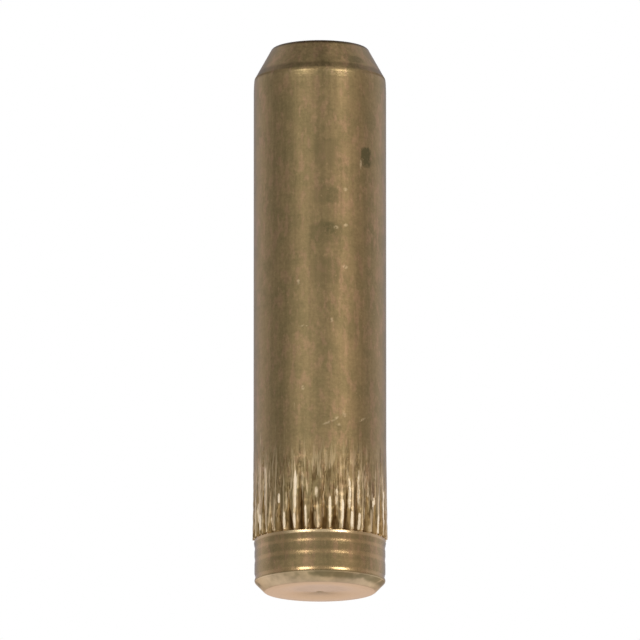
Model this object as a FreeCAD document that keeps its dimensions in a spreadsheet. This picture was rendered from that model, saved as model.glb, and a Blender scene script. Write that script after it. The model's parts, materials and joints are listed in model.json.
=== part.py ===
"""Gate hinge pin: a brass bar turned to 18 mm, knurled at its foot so that it stays in the lower knuckle.

Millimetres, +Z along the pin, origin at the centre of the foot face, knurled end down.
"""
import FreeCAD
import Part
import os
import Sketcher

DRIVING_SIZES = [
    ("body_diameter", 18.0, "running diameter that carries the gate"),
    ("overall_length", 75.0, "foot face to top face"),
    ("lead_depth", 2.5, "top taper, measured in from the body on the radius"),
    ("lead_length", 4.33, "top taper, measured down from the top face"),
    ("top_edge_radius", 0.3, "rolled edge of the top face"),
    ("pilot_relief", 0.13, "how far the pilot lies inside the body, on the radius"),
    ("pilot_length", 7.2, "foot face to the lower end of the ridges"),
    ("foot_chamfer", 1.35, "45 degree chamfer round the foot face"),
    ("ridge_rise", 0.17, "how far the ridges stand out of the body at their lower end"),
    ("ridge_count", 35.0, "ridges round the pin"),
    ("knurl_length", 12.5, "length over which the ridges run out upwards"),
    ("flute_depth", 0.64, "flutes at their lower end, measured in from the body"),
    ("flute_angle", 90.0, "angle between the flanks of a flute, degrees"),
    ("flute_lift", 0.02, "how far outside the body the flute floor ends its arc"),
    ("flute_overrun", 0.15, "how far the flutes bite into the rim of the pilot"),
    ("flute_clocking", 6.2, "first flute, degrees round the pin from +X"),
    ("mark_diameter", 1.2, "centre mark in the foot face"),
    ("mark_angle", 90.0, "point angle of the centre mark, degrees"),
]

# How far the profile of a flute reaches past the ridges, so that it cuts them clean through.
CUTTER_CLEARANCE = 0.3


def make_sheet(doc):
    """Keep the driving dimensions in a sheet: name, value and meaning."""
    sheet = doc.addObject("Spreadsheet::Sheet", "Sizes")
    for row, (alias, value, meaning) in enumerate(DRIVING_SIZES, start=1):
        sheet.set(f"A{row}", alias)
        sheet.set(f"B{row}", str(value))
        sheet.set(f"C{row}", meaning)
        sheet.setAlias(f"B{row}", alias)
    doc.recompute()
    return sheet


def origin_feature(body, role):
    return next(item for item in body.Origin.OriginFeatures if item.Role == role)


def new_sketch(body, name, plane_role):
    sketch = body.newObject("Sketcher::SketchObject", name)
    sketch.AttachmentSupport = (origin_feature(body, plane_role), [""])
    sketch.MapMode = "FlatFace"
    return sketch


def draw_outline(sketch, corners):
    """Draw a closed outline of straight edges; a corner is a pair of rules from the sheet."""
    places = []
    for across, along in corners:
        places.append(FreeCAD.Vector(number(sketch, across), number(sketch, along), 0))
    count = len(places)
    for edge in range(count):
        sketch.addGeometry(Part.LineSegment(places[edge], places[(edge + 1) % count]), False)
    for edge in range(count):
        sketch.addConstraint(Sketcher.Constraint("Coincident", edge, 2, (edge + 1) % count, 1))


def number(sketch, rule):
    """Work out a rule such as Sizes.body_diameter / 2 as a plain number."""
    value = sketch.evalExpression(rule)
    return float(getattr(value, "Value", value))


def place_across(sketch, name, edge, rule):
    """Hold the start of an edge at a distance from the pin's axis."""
    value = number(sketch, rule)
    index = sketch.addConstraint(Sketcher.Constraint("DistanceX", -1, 1, edge, 1, value))
    sketch.renameConstraint(index, name)
    sketch.setExpression(f"Constraints.{name}", rule)


def place_along(sketch, name, edge, rule):
    """Hold the start of an edge at a height above the foot face, or beside the pin's axis."""
    value = number(sketch, rule)
    index = sketch.addConstraint(Sketcher.Constraint("DistanceY", -1, 1, edge, 1, value))
    sketch.renameConstraint(index, name)
    sketch.setExpression(f"Constraints.{name}", rule)


def turn_bar(body):
    """Turn the bar: foot, chamfer, pilot, raised ridge band, body and tapered lead."""
    body_radius = "Sizes.body_diameter / 2"
    pilot_radius = f"{body_radius} - Sizes.pilot_relief"
    foot_radius = f"{pilot_radius} - Sizes.foot_chamfer"
    ridge_radius = f"{body_radius} + Sizes.ridge_rise"
    top_radius = f"{body_radius} - Sizes.lead_depth"
    ridge_end = "Sizes.pilot_length + Sizes.knurl_length"
    lead_start = "Sizes.overall_length - Sizes.lead_length"

    sketch = new_sketch(body, "TurningProfile", "XZ_Plane")
    draw_outline(sketch, [
        ("0", "0"),
        (foot_radius, "0"),
        (pilot_radius, "Sizes.foot_chamfer"),
        (pilot_radius, "Sizes.pilot_length"),
        (ridge_radius, "Sizes.pilot_length"),
        (body_radius, ridge_end),
        (body_radius, lead_start),
        (top_radius, "Sizes.overall_length"),
        ("0", "Sizes.overall_length"),
    ])
    foot, chamfer, pilot, shoulder, ridge_band, shank, lead, top, axis = range(9)
    sketch.addConstraint(Sketcher.Constraint("Coincident", foot, 1, -1, 1))
    for level in (foot, shoulder, top):
        sketch.addConstraint(Sketcher.Constraint("Horizontal", level))
    for upright in (pilot, shank, axis):
        sketch.addConstraint(Sketcher.Constraint("Vertical", upright))
    place_across(sketch, "foot_radius", chamfer, foot_radius)
    place_across(sketch, "pilot_radius", pilot, pilot_radius)
    place_along(sketch, "foot_chamfer", pilot, "Sizes.foot_chamfer")
    place_along(sketch, "pilot_length", shoulder, "Sizes.pilot_length")
    place_across(sketch, "ridge_radius", ridge_band, ridge_radius)
    place_across(sketch, "body_radius", shank, body_radius)
    place_along(sketch, "ridge_end", shank, ridge_end)
    place_along(sketch, "lead_start", lead, lead_start)
    place_across(sketch, "top_radius", top, top_radius)
    place_along(sketch, "overall_length", top, "Sizes.overall_length")

    turning = body.newObject("PartDesign::Revolution", "TurnedBar")
    turning.Profile = sketch
    turning.ReferenceAxis = (sketch, ["V_Axis"])
    turning.Angle = 360
    return turning


def mark_centre(body):
    """Sink the small cone that the lathe centre leaves in the foot face."""
    mark_radius = "Sizes.mark_diameter / 2"
    mark_depth = "Sizes.mark_diameter / 2 / tan(Sizes.mark_angle / 2)"
    sketch = new_sketch(body, "CentreMarkProfile", "XZ_Plane")
    draw_outline(sketch, [("0", "0"), (mark_radius, "0"), ("0", mark_depth)])
    face, flank, axis = range(3)
    sketch.addConstraint(Sketcher.Constraint("Coincident", face, 1, -1, 1))
    sketch.addConstraint(Sketcher.Constraint("Horizontal", face))
    sketch.addConstraint(Sketcher.Constraint("Vertical", axis))
    place_across(sketch, "mark_radius", flank, mark_radius)
    place_along(sketch, "mark_depth", axis, mark_depth)

    mark = body.newObject("PartDesign::Groove", "CentreMark")
    mark.Profile = sketch
    mark.ReferenceAxis = (sketch, ["V_Axis"])
    mark.Angle = 360
    return mark


def roll_top_edge(doc, body):
    """Take the sharp edge off the rim of the top face."""
    doc.recompute()
    top = number(body, "Sizes.overall_length")
    base = body.Tip
    rim = [
        f"Edge{index}"
        for index, edge in enumerate(base.Shape.Edges, start=1)
        if edge.BoundBox.ZMin > top - 1e-6
    ]
    rolled = body.newObject("PartDesign::Fillet", "TopEdge")
    rolled.Base = (base, rim)
    rolled.setExpression("Radius", "Sizes.top_edge_radius")
    return rolled


def cut_flutes(doc, body):
    """Cut the V flutes between the ridges.

    The floor of a flute is an arc in a plane through the pin's axis. It is deepest at the rim of
    the pilot and comes out through the body where the ridges end. So one flute is a V turned
    about a level axis far beyond the other side of the pin, and a polar pattern repeats it.
    """
    body_radius = "Sizes.body_diameter / 2"
    fall = "(Sizes.flute_depth + Sizes.flute_lift)"
    run = "(Sizes.knurl_length + Sizes.flute_overrun)"
    arc_radius = f"({run} ^ 2 + {fall} ^ 2) / (2 * {fall})"
    floor_top = f"{body_radius} + Sizes.flute_lift"
    arc_centre = f"{arc_radius} - {floor_top}"
    cutter_height = f"{fall} + Sizes.ridge_rise + {CUTTER_CLEARANCE}"
    cutter_width = f"({cutter_height}) * tan(Sizes.flute_angle / 2)"
    cutter_rim = f"{floor_top} + {cutter_height}"

    sketch = new_sketch(body, "FluteProfile", "XY_Plane")
    sketch.setExpression("AttachmentOffset.Base.z", "Sizes.pilot_length + Sizes.knurl_length")
    sketch.setExpression("AttachmentOffset.Rotation.Angle", "Sizes.flute_clocking")
    draw_outline(sketch, [
        (floor_top, "0"),
        (cutter_rim, f"-({cutter_width})"),
        (cutter_rim, cutter_width),
    ])
    near_flank, rim, far_flank = range(3)
    sketch.addConstraint(Sketcher.Constraint("PointOnObject", near_flank, 1, -1))
    sketch.addConstraint(Sketcher.Constraint("Symmetric", rim, 1, rim, 2, -1))
    place_across(sketch, "floor_top", near_flank, floor_top)
    place_across(sketch, "cutter_rim", rim, cutter_rim)
    place_along(sketch, "cutter_width", far_flank, cutter_width)

    centre = number(sketch, arc_centre)
    foot_of_axis = FreeCAD.Vector(-centre, 0, 0)
    head_of_axis = FreeCAD.Vector(-centre, 1, 0)
    axis = sketch.addGeometry(Part.LineSegment(foot_of_axis, head_of_axis), True)
    sketch.addConstraint(Sketcher.Constraint("PointOnObject", axis, 1, -1))
    sketch.addConstraint(Sketcher.Constraint("Vertical", axis))
    sketch.addConstraint(Sketcher.Constraint("DistanceY", axis, 1, axis, 2, 1))
    spread = sketch.addConstraint(Sketcher.Constraint("DistanceX", axis, 1, -1, 1, centre))
    sketch.renameConstraint(spread, "arc_centre")
    sketch.setExpression("Constraints.arc_centre", arc_centre)

    flute = body.newObject("PartDesign::Groove", "Flute")
    flute.Profile = sketch
    flute.ReferenceAxis = (sketch, ["Axis0"])
    flute.setExpression("Angle", f"asin({run} / ({arc_radius}))")
    flute.Reversed = False
    doc.recompute()

    flutes = body.newObject("PartDesign::PolarPattern", "Flutes")
    flutes.Originals = [flute]
    flutes.Axis = (origin_feature(body, "Z_Axis"), [""])
    flutes.Angle = 360
    flutes.setExpression("Occurrences", "Sizes.ridge_count")
    body.Tip = flutes
    return flutes


def check(doc, bodies):
    for item in doc.Objects:
        if "Invalid" in item.State or "Error" in item.State:
            raise RuntimeError(f"{item.Label} failed: {item.State}")
    for body in bodies:
        if body.Shape.isNull() or not body.Shape.isValid():
            raise RuntimeError(f"{body.Label} has no valid shape")


def main():
    doc = FreeCAD.newDocument("GateHingePin")
    make_sheet(doc)
    pin = doc.addObject("PartDesign::Body", "HingePin")
    pin.Label = "hinge_pin"
    turn_bar(pin)
    mark_centre(pin)
    roll_top_edge(doc, pin)
    cut_flutes(doc, pin)
    doc.recompute()
    check(doc, [pin])

    os.makedirs("parts", exist_ok=True)
    pin.Shape.exportStep(f"parts/{pin.Label}.step")
    box = pin.Shape.BoundBox
    print(f"{pin.Label}: {len(pin.Shape.Solids)} solid, {len(pin.Shape.Faces)} faces")
    print(f"box {box.XLength:.3f} x {box.YLength:.3f} x {box.ZLength:.3f}, volume {pin.Shape.Volume:.1f}")


main()
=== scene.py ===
"""A brass gate hinge pin, knurled at its foot, on a plain pale floor."""
import json
import math
import random

import bmesh
import bpy
from bpy.props import FloatProperty, FloatVectorProperty, IntProperty, PointerProperty
from mathutils import Matrix, Vector, noise


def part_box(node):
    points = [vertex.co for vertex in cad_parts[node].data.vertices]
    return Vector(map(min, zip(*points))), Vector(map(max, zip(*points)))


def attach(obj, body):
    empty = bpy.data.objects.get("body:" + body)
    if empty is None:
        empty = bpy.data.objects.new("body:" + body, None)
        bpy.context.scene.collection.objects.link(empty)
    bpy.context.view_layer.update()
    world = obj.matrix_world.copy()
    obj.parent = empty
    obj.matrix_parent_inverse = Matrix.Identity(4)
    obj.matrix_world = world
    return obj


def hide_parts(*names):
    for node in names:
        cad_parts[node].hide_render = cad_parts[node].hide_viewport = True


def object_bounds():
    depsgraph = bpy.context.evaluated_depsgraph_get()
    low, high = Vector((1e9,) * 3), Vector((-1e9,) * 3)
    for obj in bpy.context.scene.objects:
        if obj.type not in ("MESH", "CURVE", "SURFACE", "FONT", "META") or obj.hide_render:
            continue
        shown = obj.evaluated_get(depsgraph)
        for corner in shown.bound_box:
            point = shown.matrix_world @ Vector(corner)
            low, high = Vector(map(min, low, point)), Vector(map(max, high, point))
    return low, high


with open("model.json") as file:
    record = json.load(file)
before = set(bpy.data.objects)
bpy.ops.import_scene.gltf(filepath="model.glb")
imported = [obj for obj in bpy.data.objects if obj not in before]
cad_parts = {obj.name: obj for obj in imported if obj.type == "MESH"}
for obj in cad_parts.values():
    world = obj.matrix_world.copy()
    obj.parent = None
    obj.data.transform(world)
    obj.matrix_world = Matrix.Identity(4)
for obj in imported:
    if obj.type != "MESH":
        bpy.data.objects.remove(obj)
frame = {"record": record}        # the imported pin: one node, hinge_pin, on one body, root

bl_info = {
    "name": "Gate Hinge Pin",
    "version": (1, 0, 0),
    "blender": (4, 5, 0),
    "location": "3D View > Sidebar > Hinge Pin",
    "description": "Turns a knurled brass hinge pin and sets it on a pale floor",
    "category": "Add Mesh",
}

MM = 0.001
NODE = "hinge_pin"
BODY = "root"

MOUNTS = {mount["name"]: mount for mount in frame["record"]["mounts"]}
_, CAD_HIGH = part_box(NODE)
CAD_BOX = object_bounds()

# How the mesh of the pin is laid out.
HOLD = 0.5 * MM                  # from a rounded edge to the ring that keeps the surface beside it straight
LIP = 0.01 * MM                  # height between two rings that make a sharp step
HAIR = 0.005 * MM                # less than this is no difference in height
NEAR = 0.01 * MM                 # a corner that is closer than this to a ring is on it
MERGE = 0.0005 * MM              # corners that are closer than this are one
FAINT = 0.001 * MM               # a lip that is lower than this isn't raised
NICKED = 5 * MM                  # length of plain body above the ridges that has close rings
NICK_REACH = 22 * MM             # from the shoulder to above the highest nick
KNURL_RINGS = 84                 # rings between the shoulder and the end of the ridges
NICK_RINGS = 20                  # rings in the nicked length above them
RING_SHARES = (-1, -0.5, 0, 0.5, 1)  # corners across a turned ring, as shares of its half width
EASE_SHARES = (0, 0.65, 1)       # corners along the length that eases into the taper
LEAD_SHARES = (0.15, 0.85, 1)    # corners up the taper
CROWN_COLUMNS = 3                # mesh columns of half a pitch that stay on top of the ridge
RUN_OUT = 0.03 * MM              # half width of a flute where it has run out
OPENING = 2 * MM                 # height above that over which its mesh columns spread out again
FLUTE_FALL = 2.1                 # power of the curve by which a flute gets shallower
FLUTE_UNEVEN = 0.16              # share of its depth by which a flute gets deeper or shallower
FLUTE_SEED = 35
RIDGE_SEED = 18
LEVEL = 0.9999                   # a face whose normal is this upright lies level, and is shaded flat
SHARP = math.radians(52)         # an edge that turns by more than this stays sharp

# The stage, in metres.
FLOOR_SOLID = 0.10               # radius within which the floor hides what is under it
FLOOR_EDGE = 0.34                # radius at which it has faded away
FLOOR_DROP = 0.03 * MM           # how far it lies under the foot
FLOOR_LIFT = 0.5                 # share of its colour that it shows where no light falls
STUDIO_BASE = 0.34               # brightness of the room between its bands
STUDIO_ZENITH = 0.15             # straight up
STUDIO_NADIR = 0.58              # straight down
SENSOR = 36.0                    # width of the camera's sensor, in mm
END_SHARE = 0.8                  # how much of a slanted end adds to the height of the outline
CLIP_START = 0.05
CLIP_END = 10.0


def mount_radius(name):
    return MOUNTS[name]["dims"]["r_mm"] * MM


def length_property(name, description, default):
    return FloatProperty(name=name, description=description, default=default, unit="LENGTH", precision=5)


def colour_property(name, description, default):
    return FloatVectorProperty(
        name=name, description=description, default=default, subtype="COLOR", size=3, min=0, max=1
    )


class PinSizes(bpy.types.PropertyGroup):
    """The turned shape, measured from the foot face up."""

    overall_length: length_property("Length", "Foot face to top face", CAD_HIGH.z)
    body_radius: length_property("Body radius", "Running surface", mount_radius("bearing_shank"))
    pilot_radius: length_property("Pilot radius", "Plain end below the ridges", mount_radius("pilot"))
    foot_chamfer: length_property("Foot chamfer", "Chamfer round the foot face", 1.35 * MM)
    shoulder: length_property("Shoulder", "Height at which the ridges start", 7.2 * MM)
    lead_length: length_property("Lead length", "Taper below the top face", 4.33 * MM)
    lead_depth: length_property("Lead depth", "How far the taper goes in", 2.5 * MM)
    mark_radius: length_property("Centre mark radius", "Small cone in the foot face", 0.6 * MM)
    mark_depth: length_property("Centre mark depth", "Depth of the small cone", 0.6 * MM)
    lead_rounding: length_property("Lead rounding", "Rounding where the body meets the taper", 0.12 * MM)
    ease_length: length_property("Ease length", "Over which the body eases into the taper", 1.7 * MM)
    ease_depth: length_property("Ease depth", "How far the body eases in before the taper", 0.085 * MM)
    rolled_edge: length_property("Rolled edge", "Rounding of the top edge", 0.3 * MM)
    dressed_edge: length_property("Dressed edge", "Rounding of the foot's edges", 0.16 * MM)


class KnurlSizes(bpy.types.PropertyGroup):
    """The ridges at the foot and the flutes between them."""

    count: IntProperty(name="Ridges", description="Ridges round the pin", default=35, min=8)
    clocking: FloatProperty(
        name="Clocking", description="First flute, from +X", default=math.radians(6.2), subtype="ANGLE"
    )
    length: length_property("Length", "Over which the ridges run out upwards", 12.5 * MM)
    rise: length_property("Rise", "How far the ridges stand out at their foot", 0.17 * MM)
    depth: length_property("Depth", "Flutes at their foot, below the body", 0.64 * MM)
    overrun: length_property("Overrun", "How far the flutes bite into the pilot", 0.15 * MM)
    crown: length_property("Crown", "How far the top of a ridge is rounded", 0.06 * MM)
    burr: length_property("Burr", "Unevenness along the top of a ridge", 0.06 * MM)
    tear: length_property("Tear", "Unevenness of the flanks", 0.075 * MM)
    drift: length_property("Drift", "How far a flute wanders sideways", 0.16 * MM)
    half_columns: IntProperty(name="Columns", description="Mesh columns on half a pitch", default=8, min=4)


class BrassFinish(bpy.types.PropertyGroup):
    """Colours and gloss of the brass."""

    dull: colour_property("Dull brass", "Handled surface of the body", (0.330, 0.235, 0.113))
    tarnish: colour_property("Tarnish", "Darker, greener film", (0.272, 0.204, 0.095))
    pink: colour_property("Pink bloom", "Warmer, paler film", (0.400, 0.255, 0.140))
    # Also the colour of painted highlights on the knurl and the rim.
    fresh_and_highlight: colour_property("Fresh brass", "Edges and rings that the tools have cut", (0.950, 0.740, 0.450))
    # Also the colour of the painted highlights on the ridges.
    torn: colour_property("Torn brass", "Bright torn tops of the ridges", (1.000, 0.830, 0.595))
    faced: colour_property("Faced end", "Turned end face", (0.640, 0.455, 0.280))
    chamfered: colour_property("Chamfered edge", "Chamfer round the end face", (0.510, 0.380, 0.218))
    flank: colour_property("Flank", "Sides of the flutes", (0.500, 0.325, 0.135))
    # Also the colour of the painted shade in the flutes and beside the ridges.
    grime_and_shade: colour_property("Grime", "Dirt in the flutes", (0.112, 0.062, 0.016))
    fleck: colour_property("Fleck", "Small bare specks in the film", (0.600, 0.400, 0.210))
    # Colour of the painted highlight on the turned rings.
    ring_highlight: colour_property("Copper bloom", "Rings of the plain end", (0.720, 0.440, 0.220))
    # Also the colour of the painted shade patches on the foot chamfer.
    stain_and_shade: colour_property("Stain", "Soft dark marks on the body", (0.150, 0.122, 0.056))
    gloss: FloatProperty(name="Roughness", description="Roughness of the body", default=0.36, min=0, max=1)


class StageSettings(bpy.types.PropertyGroup):
    """Floor, light and camera."""

    floor: colour_property("Floor", "Colour of the floor", (0.83, 0.83, 0.82))
    elevation: FloatProperty(
        name="Elevation", description="Camera above the horizon", default=math.radians(-11), subtype="ANGLE"
    )
    distance: length_property("Distance", "Camera to the middle of the pin", 3.0)
    fill: FloatProperty(
        name="Fill", description="Share of the picture that the pin's height takes", default=0.88
    )


# Flutes that face the camera, by their number round the pin.
# Each has its share of the full depth and its share of the full length.
FRONT_FLUTES = {
    19: (0.95, 0.95),
    20: (0.85, 1.00),
    21: (0.90, 0.66),
    22: (0.95, 0.62),
    23: (1.00, 0.74),
    24: (1.08, 1.00),
    25: (0.92, 0.58),
    26: (0.95, 0.90),
    27: (0.98, 0.66),
    28: (1.05, 1.00),
    29: (1.08, 0.96),
    30: (0.95, 0.84),
    31: (0.88, 0.70),
    32: (0.95, 1.00),
}

# Ridges that face the camera, by the number of the flute before them.
# Each has its brightness, and how far up it is bright, in mm.
FRONT_RIDGES = {
    18: (0.7, 7.0),
    19: (0.9, 8.5),
    20: (0.9, 8.0),
    21: (0.4, 4.0),
    22: (0.7, 4.5),
    23: (1.0, 7.5),
    24: (0.6, 3.5),
    25: (0.35, 3.0),
    26: (0.7, 5.0),
    27: (0.8, 5.0),
    28: (1.0, 7.0),
    29: (0.6, 7.0),
    30: (0.5, 6.0),
    31: (0.8, 5.0),
    32: (0.9, 8.0),
}

# Painted highlights on torn bright metal: bright lines on the ridges and in the flutes.
# Degrees round from the front, lowest point, highest point, half width, brightness.
HIGHLIGHT_LINES = [
    (-68.4, 8.6, 11.6, 0.34, 0.95),
    (-66.5, 10.5, 17.5, 0.20, 0.38),
    (-54.8, 10.5, 16.5, 0.20, 0.50),
    (-63.0, 7.6, 10.0, 0.26, 0.95),
    (-47.5, 7.3, 9.4, 0.18, 0.70),
    (-38.0, 10.9, 12.3, 0.22, 0.70),
    (-32.2, 7.2, 9.8, 0.17, 0.90),
    (-21.7, 9.9, 15.3, 0.19, 0.95),
    (-22.6, 7.2, 9.4, 0.19, 1.00),
    (-12.4, 7.3, 10.4, 0.15, 0.85),
    (-3.0, 11.3, 12.9, 0.22, 0.50),
    (-1.3, 7.3, 8.8, 0.12, 0.40),
    (2.8, 8.6, 11.9, 0.14, 0.50),
    (8.6, 7.9, 11.6, 0.18, 0.85),
    (14.3, 10.3, 12.7, 0.17, 0.60),
    (19.8, 7.1, 11.3, 0.16, 0.90),
    (26.4, 9.9, 14.4, 0.17, 0.75),
    (28.6, 7.4, 9.7, 0.18, 1.00),
    (35.6, 10.4, 15.5, 0.20, 0.50),
    (36.8, 7.2, 9.6, 0.16, 0.75),
    (46.0, 11.8, 13.6, 0.18, 0.45),
    (51.7, 10.6, 11.5, 0.17, 0.85),
    (53.9, 10.9, 12.0, 0.22, 0.95),
    (60.0, 7.1, 9.8, 0.26, 0.90),
    (64.5, 11.0, 14.5, 0.20, 0.50),
    (71.5, 8.4, 13.4, 0.32, 0.85),
]

# Painted shade: dark lines beside them, with the same columns.
SHADE_LINES = [
    (-58.5, 7.8, 11.0, 0.18, 0.60),
    (-41.0, 7.2, 9.2, 0.20, 0.55),
    (-35.0, 9.8, 12.9, 0.16, 0.60),
    (-27.0, 7.2, 10.0, 0.32, 1.00),
    (-17.6, 7.3, 13.5, 0.24, 0.95),
    (-7.5, 7.2, 9.6, 0.30, 0.80),
    (-4.6, 9.4, 10.6, 0.22, 0.55),
    (5.7, 7.2, 11.6, 0.20, 0.80),
    (6.4, 12.8, 15.0, 0.15, 0.45),
    (11.6, 7.2, 12.6, 0.20, 0.85),
    (16.6, 7.6, 11.6, 0.16, 0.70),
    (24.0, 7.4, 12.6, 0.20, 0.80),
    (31.8, 7.2, 13.2, 0.20, 0.90),
    (33.8, 7.2, 8.6, 0.18, 0.80),
    (49.6, 10.2, 11.6, 0.22, 0.90),
    (47.5, 13.2, 14.0, 0.16, 0.50),
]

# Nicks with a raised lip: degrees round from the front, height, half width, half height, lean, lip.
NICKS = [
    (7.5, 21.7, 0.70, 0.13, 20.0, 0.025),
    (13.5, 22.2, 0.45, 0.15, 38.0, 0.030),
    (16.5, 21.4, 0.35, 0.14, -24.0, 0.025),
    (21.5, 22.9, 0.22, 0.34, 14.0, 0.030),
    (39.5, 22.4, 0.55, 0.12, 30.0, 0.030),
    (53.0, 11.2, 0.30, 0.42, -18.0, 0.14),
]

# Small bright dents on the body: degrees round from the front, height, half width, half height.
DENTS = [
    (14.0, 48.6, 0.28, 0.20),
    (22.9, 49.0, 0.26, 0.18),
    (22.3, 43.2, 0.30, 0.22),
    (22.6, 53.9, 0.26, 0.20),
    (-19.0, 41.1, 0.22, 0.30),
    (10.1, 35.8, 0.18, 0.24),
    (-14.4, 35.0, 0.50, 0.10),
    (-14.8, 26.5, 0.20, 0.26),
    (38.0, 57.6, 0.16, 0.60),
]

# Soft stains on the body: degrees round from the front, height, half width, half height, strength.
STAINS = [
    (5.7, 58.9, 2.0, 1.9, 0.24),
    (6.0, 53.0, 2.0, 1.2, 0.28),
    (11.0, 53.0, 0.9, 1.0, 0.22),
    (5.5, 47.9, 2.1, 1.5, 0.42),
    (8.0, 48.5, 0.8, 0.8, 0.26),
    (5.0, 42.7, 2.1, 1.9, 0.26),
    (43.7, 58.7, 1.0, 1.4, 0.85),
    (43.2, 59.0, 0.7, 1.0, 0.55),
    (36.0, 72.3, 1.6, 0.5, 0.50),
]

# Rings left by the lathe on the plain end, in mm: height above the foot, half width, how far it stands out.
TURNED_RINGS = [
    (2.00, 0.46, -0.132),
    (4.31, 0.52, -0.066),
    (5.88, 0.40, -0.056),
    (6.63, 0.40, 0.080),
]

# Bands of the studio round the pin: degrees to the right of the camera, brightness, sharpness.
STUDIO_BANDS = [
    (-27, 0.24, 9.0),
    (44, 0.30, 8.0),
    (-124, 0.45, 12.0),
    (124, 0.50, 10.0),
    (180, 0.80, 7.0),
    (-163, -0.40, 45.0),
    (163, -0.40, 45.0),
]

# Lamps: name, degrees to the right of the camera, degrees up, distance, width, height, power in watts.
LAMPS = [
    ("key", 41, 38, 1.1, 0.36, 0.45, 4.0),
    ("fill", -30, 36, 1.2, 0.36, 0.45, 3.1),
]


def ring_edges(bm, radius, height):
    """The edges of the ring at a radius and height."""
    found = []
    for edge in bm.edges:
        if all(
            abs(vert.co.z - height) < NEAR and abs(vert.co.xy.length - radius) < NEAR
            for vert in edge.verts
        ):
            found.append(edge)
    return found


def chain(bm, corners, turn):
    """Lay out half of the pin's section as a chain of edges, turned about the axis of the pin."""
    verts = []
    for radius, height in corners:
        verts.append(bm.verts.new((radius * math.cos(turn), radius * math.sin(turn), height)))
    return [bm.edges.new(pair) for pair in zip(verts, verts[1:])]


def turn_bar(bm, pin, knurl):
    """Spin the section into the plain turned bar, with rings close together where the knurl comes."""
    rim = pin.shoulder - knurl.overrun
    ridge_end = pin.shoulder + knurl.length
    lead_start = pin.overall_length - pin.lead_length
    foot_radius = pin.pilot_radius - pin.foot_chamfer
    top_radius = pin.body_radius - pin.lead_depth
    lead_radius = pin.body_radius - pin.ease_depth
    corners = [
        (0, pin.mark_depth),
        (pin.mark_radius, 0),
        (foot_radius, 0),
        (pin.pilot_radius, pin.foot_chamfer),
    ]
    for height, half_width, proud in TURNED_RINGS:
        for share in RING_SHARES:
            radius = pin.pilot_radius + proud * MM * (1 - abs(share))
            corners.append((radius, (height + half_width * share) * MM))
    knurl_start = len(corners)
    corners += [
        (pin.pilot_radius, rim),
        (pin.pilot_radius, rim + LIP),
        (pin.pilot_radius, pin.shoulder),
        (pin.body_radius + knurl.rise, pin.shoulder + LIP),
        (pin.body_radius, ridge_end),
        (pin.body_radius, ridge_end + NICKED),
        (pin.body_radius, lead_start - pin.ease_length - HOLD),
    ]
    for share in EASE_SHARES:
        radius = pin.body_radius - pin.ease_depth * share ** 2
        corners.append((radius, lead_start - pin.ease_length * (1 - share)))
    for share in LEAD_SHARES:
        radius = lead_radius + (top_radius - lead_radius) * share
        corners.append((radius, lead_start + pin.lead_length * share))
    corners.append((0, pin.overall_length))
    edges = chain(bm, corners, knurl.clocking)
    ridges, nicked = edges[knurl_start + 3:knurl_start + 5]
    bmesh.ops.subdivide_edges(bm, edges=[ridges], cuts=KNURL_RINGS)
    bmesh.ops.subdivide_edges(bm, edges=[nicked], cuts=NICK_RINGS)
    columns = knurl.count * knurl.half_columns * 2
    bmesh.ops.spin(
        bm,
        geom=bm.verts[:] + bm.edges[:],
        cent=(0, 0, 0),
        axis=(0, 0, 1),
        angle=2 * math.pi,
        steps=columns,
        use_merge=True,
    )
    bmesh.ops.remove_doubles(bm, verts=bm.verts[:], dist=MERGE)
    bmesh.ops.recalc_face_normals(bm, faces=bm.faces[:])
    rounding = [
        (foot_radius, 0, pin.dressed_edge, 2),
        (pin.pilot_radius, pin.foot_chamfer, pin.dressed_edge, 2),
        (lead_radius, lead_start, pin.lead_rounding, 3),
        (top_radius, pin.overall_length, pin.rolled_edge, 4),
    ]
    for radius, height, reach, segments in rounding:
        bmesh.ops.bevel(
            bm,
            geom=ring_edges(bm, radius, height),
            offset=reach,
            offset_type="OFFSET",
            segments=segments,
            profile=0.5,
            affect="EDGES",
            material=-1,
        )


def flute_characters(knurl):
    """How deep and how long each flute is, because the real ones are uneven."""
    draw = random.Random(FLUTE_SEED)
    characters = []
    for index in range(knurl.count):
        depth = draw.uniform(0.80, 1.05)
        run = draw.uniform(0.50, 1.00)
        characters.append(FRONT_FLUTES.get(index, (depth, run)))
    return characters


def ridge_characters(knurl):
    """How bright each ridge is, as worn metal and painted highlight, and how far up."""
    draw = random.Random(RIDGE_SEED)
    characters = []
    for index in range(knurl.count):
        brightness = draw.uniform(0.4, 1.0)
        reach = draw.uniform(3.5, 9.5)
        characters.append(FRONT_RIDGES.get(index, (brightness, reach)))
    return characters


def uneven(across, row, height, pace):
    """Smooth noise from -1 to 1; the pace is how fast it changes with each mm of height."""
    return noise.noise(Vector((across, row, height / MM * pace)))


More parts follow.
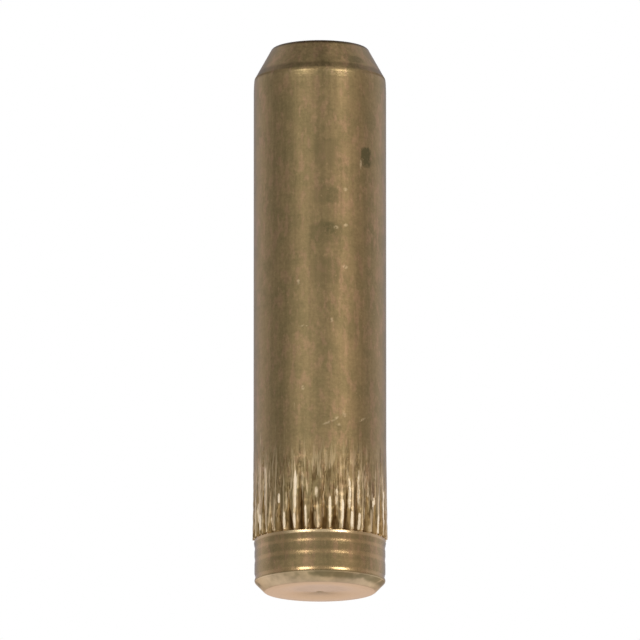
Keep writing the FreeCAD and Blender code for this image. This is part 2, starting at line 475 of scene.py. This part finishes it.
def press_knurl(bm, pin, knurl):
    """Move the vertices of the turned bar so that it has V flutes with ridges between them.

    Each pitch has a fan of mesh columns. The inner ones stay on the flanks of the flute and close
    up as it runs out, and the outer ones stay on the top of the ridge. Three values stay on each
    vertex for the finish: mm from the middle of the ridge, which side of the flute it is on, and
    how bright the ridge is there.
    """
    flutes = flute_characters(knurl)
    ridges = ridge_characters(knurl)
    from_ridge = bm.verts.layers.float.new("from_ridge")
    bold = bm.verts.layers.float.new("bold")
    side = bm.verts.layers.float.new("side")
    rim = pin.shoulder - knurl.overrun
    ridge_end = pin.shoulder + knurl.length
    half_pitch = math.pi / knurl.count
    half = knurl.half_columns
    flank_columns = half - CROWN_COLUMNS
    step = half_pitch / half
    narrowest = RUN_OUT / pin.body_radius
    widest = half_pitch - narrowest
    open_width = flank_columns * step

    for vert in bm.verts:
        height = vert.co.z
        if not rim + HAIR < height < ridge_end + NICKED:
            vert[from_ridge] = 1.0
            continue
        angle = math.atan2(vert.co.y, vert.co.x) - knurl.clocking
        column = round(angle / step) % (2 * half * knurl.count)
        flute = (column + half) // (2 * half)
        place = column - flute * 2 * half
        ridge = (flute if place > 0 else flute - 1) % knurl.count
        depth_share, run_share = flutes[flute % knurl.count]
        run = knurl.length * run_share
        along = (height - rim) / (run + knurl.overrun)
        fade = max(0.0, 1 - along)

        above = max(0.0, min(1.0, (height - pin.shoulder) / knurl.length))
        top = pin.body_radius + knurl.rise * (1 - above)
        below_shoulder = height < pin.shoulder + HAIR
        depth = (knurl.depth * depth_share + knurl.rise * fade) * fade ** FLUTE_FALL
        depth *= 1 + FLUTE_UNEVEN * uneven(flute * 3.7, 0.0, height, 0.35)
        floor = top - depth
        if below_shoulder:
            top = pin.pilot_radius
            floor = min(floor, top)
        width = max(narrowest, min(widest, (top - floor) / pin.body_radius))
        if along > 1:
            opening = min(1.0, (along - 1) * run / OPENING)
            width = narrowest + (open_width - narrowest) * opening

        share = abs(place) / flank_columns
        crown = min(knurl.crown * min(1.0, fade * 2), depth)
        if share <= 1:
            offset = width * share
            radius = floor + (max(floor, top - crown) - floor) * share
        else:
            beyond = (abs(place) - flank_columns) / (half - flank_columns)
            offset = width + (half_pitch - width) * beyond
            radius = top - crown * (1 - beyond) ** 2
        vert[from_ridge] = (half_pitch - offset) * pin.body_radius / MM
        brightness, reach = ridges[ridge]
        vert[bold] = brightness * max(0.0, min(1.0, 1.4 - (height - pin.shoulder) / MM / reach))
        if place < 0:
            offset = -offset
        vert[side] = math.sin(math.pi * offset / half_pitch)

        if not below_shoulder and fade > 0:
            radius -= dent_ridge(knurl, ridge, share, height) * min(1.0, fade * 2)
            torn = uneven(flute * 5.1 + place * 0.45, place * 0.2, height, 1.7)
            radius += knurl.tear * torn * fade * (1 if share < 1.3 else 0.3)
        drift = uneven(flute * 1.9, 7.0, height, 0.16)
        turn = knurl.clocking + flute * 2 * half_pitch + offset
        turn += drift * knurl.drift / pin.body_radius * min(1.0, fade * 3)
        vert.co.x = radius * math.cos(turn)
        vert.co.y = radius * math.sin(turn)


def dent_ridge(knurl, ridge, share, height):
    """How far the top of a ridge lies below its full height, because it is dented along its length."""
    if share < 1:
        return 0.0
    return knurl.burr * max(0.0, 0.35 + uneven(ridge * 2.3, 4.0, height, 1.1))


def strike_nicks(bm, pin):
    """Raise the lips of the nicks above the knurl."""
    for vert in bm.verts:
        if not pin.shoulder < vert.co.z < pin.shoulder + NICK_REACH:
            continue
        around = math.atan2(vert.co.x, -vert.co.y)
        lift = 0.0
        for degrees, height, half_width, half_height, lean, lip in NICKS:
            across = (around - math.radians(degrees)) * pin.body_radius / MM
            up = vert.co.z / MM - height
            slope = math.radians(lean)
            along = (across * math.cos(slope) + up * math.sin(slope)) / half_width
            aside = (up * math.cos(slope) - across * math.sin(slope)) / half_height
            lift += lip * MM * math.exp(-along ** 4 - aside ** 2)
        if lift > FAINT:
            outwards = Vector((vert.co.x, vert.co.y, 0)).normalized()
            vert.co += outwards * lift


def is_cut(face, pin):
    """Whether a face belongs to the foot face or to the chamfer round it."""
    return face.calc_center_median().z < pin.foot_chamfer


def build_pin(context):
    settings = context.scene
    pin = settings.hinge_pin_sizes
    knurl = settings.hinge_pin_knurl
    bm = bmesh.new()
    turn_bar(bm, pin, knurl)
    press_knurl(bm, pin, knurl)
    strike_nicks(bm, pin)
    bm.normal_update()
    for face in bm.faces:
        face.smooth = abs(face.normal.z) < LEVEL
        face.material_index = 1 if is_cut(face, pin) else 0
    mesh = bpy.data.meshes.new("pin")
    bm.to_mesh(mesh)
    bm.free()
    mesh.set_sharp_from_angle(angle=SHARP)
    mesh.materials.append(brass_material(settings.hinge_pin_finish, pin, knurl))
    mesh.materials.append(cut_brass_material(settings.hinge_pin_finish, pin))
    piece = bpy.data.objects.new("pin", mesh)
    context.collection.objects.link(piece)
    return piece


class Number:
    """A number in a shader; arithmetic on it adds Math nodes."""

    def __init__(self, nodes, socket):
        self.nodes = nodes
        self.socket = socket

    def maths(self, operation, *values):
        return self.nodes.maths(operation, *values)

    def __add__(self, other):
        return self.maths("ADD", self, other)

    __radd__ = __add__

    def __sub__(self, other):
        return self.maths("SUBTRACT", self, other)

    def __rsub__(self, other):
        return self.maths("SUBTRACT", other, self)

    def __mul__(self, other):
        return self.maths("MULTIPLY", self, other)

    __rmul__ = __mul__

    def __truediv__(self, other):
        return self.maths("DIVIDE", self, other)

    def __rtruediv__(self, other):
        return self.maths("DIVIDE", other, self)

    def __pow__(self, other):
        return self.maths("POWER", self, other)

    def __rpow__(self, other):
        return self.maths("POWER", other, self)


class Nodes:
    """Adds nodes to one tree."""

    def __init__(self, tree):
        self.tree = tree
        tree.nodes.clear()

    def add(self, kind, settings=None, inputs=None):
        node = self.tree.nodes.new(kind)
        for name, value in (settings or {}).items():
            setattr(node, name, value)
        for name, value in (inputs or {}).items():
            self.feed(node.inputs[name], value)
        return node

    def feed(self, socket, value):
        if isinstance(value, Number):
            value = value.socket
        if isinstance(value, bpy.types.NodeSocket):
            self.tree.links.new(value, socket)
        else:
            socket.default_value = value

    def number(self, node, output):
        return Number(self, node.outputs[output])

    def maths(self, operation, *values):
        node = self.add("ShaderNodeMath", {"operation": operation}, dict(enumerate(values)))
        return self.number(node, 0)

    def rises(self, value, low, high):
        """0 below low, 1 above high, and a smooth step between; it falls where low is the larger."""
        limits = {"Value": value, "From Min": low, "From Max": high}
        node = self.add("ShaderNodeMapRange", {"interpolation_type": "SMOOTHSTEP"}, limits)
        return self.number(node, "Result")

    def hump(self, value, centre, reach, soft):
        """1 within reach of the centre, falling to 0 over the soft margin."""
        distance = self.maths("ABSOLUTE", value - centre)
        return self.rises(distance, reach + soft, reach)

    def mix(self, factor, first, second):
        node = self.add("ShaderNodeMix", {"data_type": "RGBA"}, {0: factor, 6: first, 7: second})
        return node.outputs[2]

    def shade(self, colour, amount):
        inputs = {"Vector": colour, "Scale": amount}
        return self.add("ShaderNodeVectorMath", {"operation": "SCALE"}, inputs).outputs[0]

    def grain(self, vector, scale, detail=2.0, roughness=0.5):
        inputs = {"Vector": vector, "Scale": scale, "Detail": detail, "Roughness": roughness}
        return self.number(self.add("ShaderNodeTexNoise", {}, inputs), 0)

    def attribute(self, name):
        return self.number(self.add("ShaderNodeAttribute", {"attribute_name": name}), "Fac")

    def stretched(self, vector, x, y, z):
        return self.add("ShaderNodeMapping", {}, {"Vector": vector, "Scale": (x, y, z)}).outputs[0]

    def largest(self, *values):
        found = values[0]
        for value in values[1:]:
            found = self.maths("MAXIMUM", found, value)
        return found


def rgba(colour):
    return (*colour, 1.0)


def marks(nodes, arc, z, body, rows):
    """1 on each of the marks in a list of degrees, height, half width, half height, lean and lip."""
    found = 0.0
    for degrees, height, half_width, half_height, lean, _ in rows:
        slope = math.radians(lean)
        across = arc - math.radians(degrees) * body
        up = z - height
        along = (across * math.cos(slope) + up * math.sin(slope)) / half_width
        aside = (up * math.cos(slope) - across * math.sin(slope)) / half_height
        reach = along * along + aside * aside
        found = nodes.largest(found, nodes.rises(reach, 2.2, 0.1))
    return found


def strokes(nodes, arc, z, body, rows):
    """Upright lines in a list of degrees, lowest and highest point, half width and strength."""
    found = 0.0
    for degrees, low, high, half_width, strength in rows:
        across = (arc - math.radians(degrees) * body) / half_width
        along = (z - (low + high) / 2) / ((high - low) / 2)
        reach = across * across + along ** 4
        found = nodes.largest(found, nodes.rises(reach, 1.5, 0.3) * strength)
    return found


def surface(nodes):
    """The place on the surface in mm, as a vector and as its three numbers."""
    place = nodes.add("ShaderNodeTexCoord").outputs["Object"]
    mm = nodes.stretched(place, 1 / MM, 1 / MM, 1 / MM)
    split = nodes.add("ShaderNodeSeparateXYZ", {}, {"Vector": mm})
    return mm, [nodes.number(split, axis) for axis in "XYZ"]


class Place:
    """A place on the pin in mm: up it, out from its axis, and round the body from the front."""

    def __init__(self, nodes, pin):
        self.mm, (x, y, self.z) = surface(nodes)
        self.radius = nodes.maths("SQRT", x * x + y * y)
        self.body = pin.body_radius / MM
        self.arc = nodes.maths("ARCTAN2", x, y * -1) * self.body


class Grains:
    """The noises that the finishes of the pin share."""

    def __init__(self, nodes, mm):
        self.mottle = nodes.grain(mm, 0.32, 3.0, 0.6)
        self.film = nodes.grain(nodes.stretched(mm, 1, 1, 0.45), 1.0, 3.0, 0.65)
        self.draw_lines = nodes.grain(nodes.stretched(mm, 1, 1, 0.04), 1.9, 3.0, 0.6)
        self.hair_lines = nodes.grain(nodes.stretched(mm, 1, 1, 0.06), 7.0, 2.0, 0.6)
        self.turning = nodes.grain(nodes.stretched(mm, 0.05, 0.05, 1), 3.2, 3.0, 0.7)
        self.fine_rings = nodes.grain(nodes.stretched(mm, 0.04, 0.04, 1), 5.0, 2.0, 0.6)
        self.specks = nodes.grain(mm, 2.6, 3.0, 0.6)
        self.flecks = nodes.grain(mm, 1.7, 4.0, 0.7)
        self.streaks = nodes.grain(nodes.stretched(mm, 1, 1, 0.10), 2.6, 2.0, 0.6)
        self.threads = nodes.grain(nodes.stretched(mm, 1, 1, 0.09), 4.2, 2.0, 0.6)
        self.dashes = nodes.grain(nodes.stretched(mm, 1, 1, 0.40), 3.0, 2.0, 0.6)


def film_colour(nodes, finish, grain, place):
    """Dull brass under a patchy film, with a painted highlight along the lower middle of the front."""
    tarnished = nodes.rises(grain.mottle, 0.40, 0.64) * 0.8
    bloomed = nodes.rises(grain.film, 0.48, 0.66) * 0.75
    colour = nodes.mix(tarnished, rgba(finish.dull), rgba(finish.tarnish))
    colour = nodes.mix(bloomed, colour, rgba(finish.pink))
    # Painted highlight: the lower middle of the front is made paler where the lamps' reflection falls.
    front_highlight = nodes.hump(place.arc, 0.2, 3.2, 2.6)
    front_highlight = front_highlight * nodes.rises(place.z, 48, 24) * nodes.rises(place.z, 13.5, 18.0)
    light = 1.02 + (grain.draw_lines - 0.5) * 0.34 + (grain.specks - 0.5) * 0.50
    light = light + (grain.turning - 0.5) * 0.14 + front_highlight * 0.16
    return nodes.shade(colour, light)


def stain_mask(nodes, grain, place):
    """How strong the stains are, with ragged edges and pale specks in them."""
    stains = 0.0
    ragged = (grain.film - 0.5) * 2.4 + (grain.specks - 0.5) * 1.6
    for degrees, height, half_width, half_height, strength in STAINS:
        across = (place.arc - math.radians(degrees) * place.body) / half_width
        along = (place.z - height) / half_height
        reach = across ** 4 + along ** 4
        stains = stains + nodes.rises(reach + ragged, 1.7, 0.2) * strength
    return nodes.maths("MINIMUM", stains * (0.55 + nodes.rises(grain.specks, 0.36, 0.60) * 0.75), 1.0)


def shade_lead(nodes, colour, place, pin):
    """Paint shade on the taper, darkest along its lower edge and round the top face."""
    top = pin.overall_length / MM
    lead_start = (pin.overall_length - pin.lead_length) / MM
    on_taper = nodes.rises(place.z, lead_start, lead_start + 0.3)
    lower_edge = nodes.hump(place.z, lead_start + 0.35, 0.35, 0.5)
    colour = nodes.shade(colour, 1 - lower_edge * 0.3 - on_taper * 0.1)
    # Painted shade: a dark line round the top edge.
    top_edge = nodes.rises(place.z, top - 0.55, top - 0.25) * nodes.rises(place.radius, 5.8, 6.3)
    return nodes.shade(colour, 1 - top_edge * 0.6)


def knurl_masks(nodes, grain, place, pin, knurl):
    """Where the knurl is, and how far it is bare flank, dirt and painted shade deep in the flutes, dirt
    with painted shade beside the ridges, worn metal with painted highlights, and torn bright metal with
    painted highlights.
    """
    shoulder = pin.shoulder / MM
    length = knurl.length / MM
    rise = knurl.rise / MM
    z, arc = place.z, place.arc
    at_knurl = nodes.rises(z, shoulder - 0.16, shoulder - 0.12)
    fading = nodes.rises(z, shoulder + length + 1.0, shoulder + 5.5)
    in_knurl = at_knurl * fading
    sunk = place.body + rise - nodes.rises(z, shoulder, shoulder + length) * rise - place.radius

    from_ridge, side, bold = (nodes.attribute(name) for name in ("from_ridge", "side", "bold"))
    # Worn ridge tops with painted highlight; the bright line sits a little to one side of each ridge, as
    # painted light from that side.
    ridge = nodes.rises(from_ridge + (grain.threads - 0.5) * 0.36 - side * 0.05, 0.19, 0.07)
    ridge = ridge * nodes.rises(bold + (grain.streaks - 0.5) * 1.4, 0.10, 0.50)
    streak = fading * nodes.rises(grain.streaks, 0.54, 0.60) * nodes.rises(sunk, 0.45, 0.20)
    wavering = arc + (grain.threads - 0.5) * 0.25
    # Painted shade beside the lit ridges.
    shades = at_knurl * strokes(nodes, wavering, z, place.body, SHADE_LINES)
    # Painted highlights, listed where the ridges catch the light.
    highlight_lines = at_knurl * strokes(nodes, wavering, z, place.body, HIGHLIGHT_LINES)
    highlight_lines = highlight_lines * (1.05 + (grain.dashes - 0.5) * 2.0)

    # Worn bare metal on the ridges, with the painted highlights in it.
    worn_and_highlight = at_knurl * nodes.largest(ridge, streak * 0.6, highlight_lines) * (1 - shades)
    worn_and_highlight = nodes.maths("MINIMUM", worn_and_highlight, 1.0)
    at_front = nodes.rises(arc, -10.6, -10.0) * nodes.rises(arc, 10.6, 10.0)
    # Torn near-white metal on the ridges, with the painted highlights.
    bright = nodes.largest(at_knurl * ridge * (0.55 - at_front * 0.30), highlight_lines)
    bright = nodes.rises(bright * (1 - shades), 0.25, 1.0)
    flank = in_knurl * nodes.rises(sunk, 0.03, 0.20)
    # Dirt and painted shade deep in the flutes, darkest where they are deepest.
    grime_and_shade = in_knurl * nodes.rises(sunk, 0.28, 0.60)
    scored = in_knurl * nodes.rises(grain.threads, 0.49, 0.40) * 0.65
    # Dirt and score marks, together with the painted shade of the dark lines.
    dirt_and_shade = nodes.largest(grime_and_shade * 0.55, scored, shades * 0.75)
    return in_knurl, flank, grime_and_shade, dirt_and_shade, worn_and_highlight, bright


def ring_mask(nodes, z):
    """The side of each turned ring that catches the light."""
    rings = 0.0
    for height, half_width, proud in TURNED_RINGS:
        lit = height + math.copysign(half_width / 2, proud)
        rings = nodes.largest(rings, nodes.hump(z, lit, half_width * 0.4, half_width * 0.4))
    return rings


def cut_mask(nodes, grain, place, lead_start):
    """Bare metal in the nicks and the dents, and a faint painted highlight along the edge below the lead.
    """
    nicks = marks(nodes, place.arc, place.z, place.body, NICKS)
    dents = marks(nodes, place.arc, place.z, place.body, [(*row, 0.0, 0.0) for row in DENTS])
    broken = nodes.rises(grain.specks, 0.36, 0.58)
    edge_highlight = nodes.hump(place.z, lead_start - 0.5, 0.15, 0.6) * nodes.rises(grain.film, 0.42, 0.62)
    return nodes.largest(nicks * broken * 0.5, dents * broken * 0.45, edge_highlight * 0.06)


def brass_material(finish, pin, knurl):
    """Dull drawn brass, brighter where tools have cut it and where highlights are painted, darker where
    dirt has stayed and where shade is painted.
    """
    material = bpy.data.materials.new("brass")
    material.use_nodes = True
    nodes = Nodes(material.node_tree)
    place = Place(nodes, pin)
    grain = Grains(nodes, place.mm)
    z, arc = place.z, place.arc
    shoulder = pin.shoulder / MM
    lead_start = (pin.overall_length - pin.lead_length) / MM

    stains = stain_mask(nodes, grain, place)
    flecks = nodes.rises(grain.flecks, 0.62, 0.72)
    colour = film_colour(nodes, finish, grain, place)
    colour = nodes.mix(stains, colour, rgba(finish.stain_and_shade))
    colour = shade_lead(nodes, colour, place, pin)
    colour = nodes.mix(flecks * 0.35, colour, rgba(finish.fleck))

    in_knurl, flank, grime_and_shade, dirt_and_shade, worn_and_highlight, bright = knurl_masks(nodes, grain, place, pin, knurl)
    colour = nodes.shade(colour, 1 + in_knurl * 0.22)
    colour = nodes.mix(flank * 0.8, colour, rgba(finish.flank))
    colour = nodes.mix(dirt_and_shade, colour, rgba(finish.grime_and_shade))
    colour = nodes.mix(worn_and_highlight * 0.85, colour, rgba(finish.fresh_and_highlight))
    # Painted highlights and torn tops in a near-white colour.
    colour = nodes.mix(bright, colour, rgba(finish.torn))
    # Painted highlights and torn tops are barely metallic, so they show as pale spots in any light.
    torn = nodes.rises(bright, 0.15, 0.85)

    cut = cut_mask(nodes, grain, place, lead_start)
    # Painted highlight along the rim below the ridges, strongest at the front.
    rim = nodes.hump(z, shoulder - 0.36, 0.14, 0.12) * (0.15 + nodes.hump(arc, -0.4, 3.6, 1.8) * 0.40)
    # Painted highlight: a copper tint on the side of each ring that catches the light.
    colour = nodes.mix(ring_mask(nodes, z) * 0.20, colour, rgba(finish.ring_highlight))
    colour = nodes.mix(rim, colour, rgba(finish.fresh_and_highlight))
    colour = nodes.mix(cut, colour, rgba(finish.fresh_and_highlight))

    plain_end = nodes.rises(z, shoulder, shoulder - 0.1)
    # Painted highlight on the front of the plain end.
    pilot_highlight = nodes.hump(z, 2.5, 0.35, 0.45) * nodes.hump(arc, 0.0, 5.0, 4.0)
    colour = nodes.shade(colour, 1 + plain_end * (0.11 + pilot_highlight * 0.22))
    rough = finish.gloss + (grain.specks - 0.5) * 0.10 + (grain.draw_lines - 0.5) * 0.14
    rough = rough - cut * 0.16 + worn_and_highlight * 0.12 + grime_and_shade * 0.2 + stains * 0.08 - plain_end * 0.10
    rough = rough + nodes.hump(z, lead_start, 0.1, 0.1) * 0.25

    turned = nodes.largest(plain_end, nodes.hump(z, lead_start - 0.75, 0.25, 0.45))
    relief = grain.hair_lines * 0.35 + grain.fine_rings * (0.35 + turned * 1.5) + grain.specks * 0.3
    bump = nodes.add("ShaderNodeBump", {}, {"Strength": 0.35, "Distance": 0.02 * MM, "Height": relief})

    shader = nodes.add("ShaderNodeBsdfPrincipled", {}, {
        "Base Color": colour,
        "Metallic": 1 - torn * 0.92,
        "Roughness": rough,
        "Specular Tint": (0.80, 0.80, 0.80, 1.0),
        "Normal": bump.outputs[0],
    })
    nodes.add("ShaderNodeOutputMaterial", {}, {"Surface": shader.outputs[0]})
    return material


def cut_brass_material(finish, pin):
    """Brass as the lathe leaves it, paler than the body, with fine rings round the axis."""
    material = bpy.data.materials.new("cut_brass")
    material.use_nodes = True
    nodes = Nodes(material.node_tree)
    mm, (x, y, z) = surface(nodes)
    radius = nodes.maths("SQRT", x * x + y * y)
    section = nodes.add("ShaderNodeCombineXYZ", {}, {"X": radius, "Y": z}).outputs[0]
    rings = nodes.grain(section, 3.0, 3.0, 0.7)
    specks = nodes.grain(mm, 2.6, 3.0, 0.6)
    cloud = nodes.grain(mm, 0.5, 3.0, 0.6)
    up_chamfer = nodes.rises(z, 0.02, 0.10)
    # Painted reflections on the chamfer: dark patches of painted shade, the mottle made stronger, and the
    # whole chamfer lifted paler.
    shade_patches = nodes.rises(nodes.grain(mm, 0.36, 2.0, 0.5), 0.44, 0.60) * nodes.rises(z, 0.30, 0.80)
    mottled = 1 + (specks - 0.5) * 0.25 + (cloud - 0.5) * (0.20 + up_chamfer * 0.9) + (rings - 0.5) * 0.25
    edge = nodes.hump(z, pin.foot_chamfer / MM, 0.06, 0.08)
    colour = nodes.mix(up_chamfer, rgba(finish.faced), rgba(finish.chamfered))
    colour = nodes.mix(up_chamfer * shade_patches * 0.78, colour, rgba(finish.stain_and_shade))
    colour = nodes.shade(colour, mottled + up_chamfer * 0.38)
    colour = nodes.mix(edge * 0.3, colour, rgba(finish.fresh_and_highlight))
    relief = rings * nodes.rises(radius, 0.6, 2.4)
    bump = nodes.add("ShaderNodeBump", {}, {"Strength": 0.3, "Distance": 0.02 * MM, "Height": relief})
    shader = nodes.add("ShaderNodeBsdfPrincipled", {}, {
        "Base Color": colour,
        "Metallic": 1.0,
        "Roughness": 0.30 + (cloud - 0.5) * 0.05,
        "Specular Tint": (0.85, 0.725, 0.58, 1.0),
        "Normal": bump.outputs[0],
    })
    nodes.add("ShaderNodeOutputMaterial", {}, {"Surface": shader.outputs[0]})
    return material


def floor_material(stage):
    """Pale floor that fades into the background, and that the camera sees through from below."""
    material = bpy.data.materials.new("pale_floor")
    material.use_nodes = True
    nodes = Nodes(material.node_tree)
    place = nodes.add("ShaderNodeTexCoord").outputs["Object"]
    split = nodes.add("ShaderNodeSeparateXYZ", {}, {"Vector": place})
    x, y = nodes.number(split, "X"), nodes.number(split, "Y")
    distance = nodes.maths("SQRT", x * x + y * y)
    far = nodes.rises(distance, FLOOR_SOLID, FLOOR_EDGE)
    path = nodes.add("ShaderNodeLightPath")
    from_below = nodes.number(nodes.add("ShaderNodeNewGeometry"), "Backfacing")
    seen = nodes.number(path, "Is Camera Ray")
    clear = nodes.maths("MAXIMUM", far, from_below * seen)
    diffuse = nodes.add("ShaderNodeBsdfDiffuse", {}, {"Color": rgba(stage.floor)})
    glow = nodes.mix(seen * FLOOR_LIFT, (0.0, 0.0, 0.0, 1.0), rgba(stage.floor))
    lift = nodes.add("ShaderNodeEmission", {}, {"Color": glow})
    floor = nodes.add("ShaderNodeAddShader", {}, {0: diffuse.outputs[0], 1: lift.outputs[0]})
    gap = nodes.add("ShaderNodeBsdfTransparent")
    blend = nodes.add("ShaderNodeMixShader", {}, {0: clear, 1: floor.outputs[0], 2: gap.outputs[0]})
    nodes.add("ShaderNodeOutputMaterial", {}, {"Surface": blend.outputs[0]})
    return material


def build_floor(context):
    bm = bmesh.new()
    lowered = Matrix.Translation((0, 0, -FLOOR_DROP))
    bmesh.ops.create_circle(bm, cap_ends=True, radius=FLOOR_EDGE, segments=96, matrix=lowered)
    mesh = bpy.data.meshes.new("floor")
    bm.to_mesh(mesh)
    bm.free()
    mesh.materials.append(floor_material(context.scene.hinge_pin_stage))
    floor = bpy.data.objects.new("floor", mesh)
    context.collection.objects.link(floor)
    floor.visible_glossy = False
    floor.visible_shadow = False


def build_world(context):
    """White behind the pin, and a room of soft bands for what the brass reflects."""
    world = bpy.data.worlds.new("studio")
    world.use_nodes = True
    nodes = Nodes(world.node_tree)
    direction = nodes.add("ShaderNodeTexCoord").outputs["Generated"]
    split = nodes.add("ShaderNodeSeparateXYZ", {}, {"Vector": direction})
    x, y, z = (nodes.number(split, axis) for axis in "XYZ")
    level = nodes.maths("MAXIMUM", nodes.maths("SQRT", x * x + y * y), 0.02)
    room = STUDIO_BASE
    for degrees, brightness, sharpness in STUDIO_BANDS:
        right, front = math.sin(math.radians(degrees)), math.cos(math.radians(degrees))
        nearness = (x * right - y * front) / level
        room = room + nodes.maths("EXPONENT", (nearness - 1) * sharpness) * brightness
    upwards = nodes.rises(z, 0.78, 0.97)
    downwards = nodes.rises(z, -0.50, -0.92)
    room = room * (1 - upwards) + upwards * STUDIO_ZENITH
    room = room * (1 - downwards) + downwards * STUDIO_NADIR
    path = nodes.add("ShaderNodeLightPath")
    seen = nodes.number(path, "Is Camera Ray")
    behind = nodes.rises(y / level, -0.3, 0.5) * (1 - seen)
    warm = nodes.rises(x / level, 0.1, 0.8) * (1 - behind) * (1 - seen)
    tint = nodes.mix(warm, (1.0, 1.0, 1.0, 1.0), (1.05, 0.97, 0.93, 1.0))
    tint = nodes.mix(behind, tint, (1.0, 1.0, 1.14, 1.0))
    strength = room * (1 - seen) + seen
    background = nodes.add("ShaderNodeBackground", {}, {"Color": tint, "Strength": strength})
    nodes.add("ShaderNodeOutputWorld", {}, {"Surface": background.outputs[0]})
    context.scene.world = world


def add_lamp(context, name, degrees, elevation, distance, width, height, power):
    """A soft box that faces the middle of the pin."""
    light = bpy.data.lights.new(name, "AREA")
    light.shape = "RECTANGLE"
    light.size = width
    light.size_y = height
    light.energy = power
    lamp = bpy.data.objects.new(name, light)
    context.collection.objects.link(lamp)
    turn, rise = math.radians(degrees), math.radians(elevation)
    out = Vector((math.sin(turn) * math.cos(rise), -math.cos(turn) * math.cos(rise), math.sin(rise)))
    lamp.location = Vector((0, 0, CAD_HIGH.z / 2)) + out * distance
    lamp.rotation_mode = "QUATERNION"
    lamp.rotation_quaternion = out.to_track_quat("Z", "Y")
    lamp.visible_camera = False


def build_camera(context):
    """Look up at the pin from a little below its foot, from far away, as the photograph does."""
    stage = context.scene.hinge_pin_stage
    low, high = CAD_BOX
    middle = (low + high) / 2
    back = Vector((0, -math.cos(stage.elevation), math.sin(stage.elevation)))
    data = bpy.data.cameras.new("camera")
    camera = bpy.data.objects.new("camera", data)
    context.collection.objects.link(camera)
    camera.location = middle + back * stage.distance
    camera.rotation_mode = "QUATERNION"
    camera.rotation_quaternion = back.to_track_quat("Z", "Y")
    slant = abs(math.sin(stage.elevation))
    seen_height = (high.z - low.z) * math.cos(stage.elevation) + (high.x - low.x) * slant * END_SHARE
    data.sensor_width = SENSOR
    data.lens = SENSOR * stage.distance * stage.fill / seen_height
    data.clip_start = CLIP_START
    data.clip_end = CLIP_END
    context.scene.camera = camera


def build_stage(context):
    build_floor(context)
    build_world(context)
    for row in LAMPS:
        add_lamp(context, *row)
    build_camera(context)
    context.scene.view_settings.view_transform = "Standard"


class HINGEPIN_OT_pin(bpy.types.Operator):
    """Turn the pin, press its knurl and give it its brass"""

    bl_idname = "hinge_pin.pin"
    bl_label = "Add Pin"

    def execute(self, context):
        piece = build_pin(context)
        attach(piece, BODY)
        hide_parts(NODE)
        return {"FINISHED"}


class HINGEPIN_OT_stage(bpy.types.Operator):
    """Lay the floor, light it and set the camera"""

    bl_idname = "hinge_pin.stage"
    bl_label = "Add Stage"

    def execute(self, context):
        build_stage(context)
        return {"FINISHED"}


class HINGEPIN_PT_panel(bpy.types.Panel):
    """Sizes, finish and stage of the hinge pin"""

    bl_label = "Hinge Pin"
    bl_idname = "HINGEPIN_PT_panel"
    bl_space_type = "VIEW_3D"
    bl_region_type = "UI"
    bl_category = "Hinge Pin"

    def draw(self, context):
        scene = context.scene
        groups = [
            (scene.hinge_pin_sizes, "hinge_pin.pin"),
            (scene.hinge_pin_knurl, None),
            (scene.hinge_pin_finish, None),
            (scene.hinge_pin_stage, "hinge_pin.stage"),
        ]
        for group, operator in groups:
            box = self.layout.box()
            for name in group.__annotations__:
                box.prop(group, name)
            if operator:
                box.operator(operator)


CLASSES = (
    PinSizes,
    KnurlSizes,
    BrassFinish,
    StageSettings,
    HINGEPIN_OT_pin,
    HINGEPIN_OT_stage,
    HINGEPIN_PT_panel,
)


def register():
    for item in CLASSES:
        bpy.utils.register_class(item)
    bpy.types.Scene.hinge_pin_sizes = PointerProperty(type=PinSizes)
    bpy.types.Scene.hinge_pin_knurl = PointerProperty(type=KnurlSizes)
    bpy.types.Scene.hinge_pin_finish = PointerProperty(type=BrassFinish)
    bpy.types.Scene.hinge_pin_stage = PointerProperty(type=StageSettings)


def unregister():
    for name in ("sizes", "knurl", "finish", "stage"):
        delattr(bpy.types.Scene, f"hinge_pin_{name}")
    for item in reversed(CLASSES):
        bpy.utils.unregister_class(item)


def main():
    register()
    bpy.ops.hinge_pin.pin()
    bpy.ops.hinge_pin.stage()


if __name__ == "__main__":
    main()
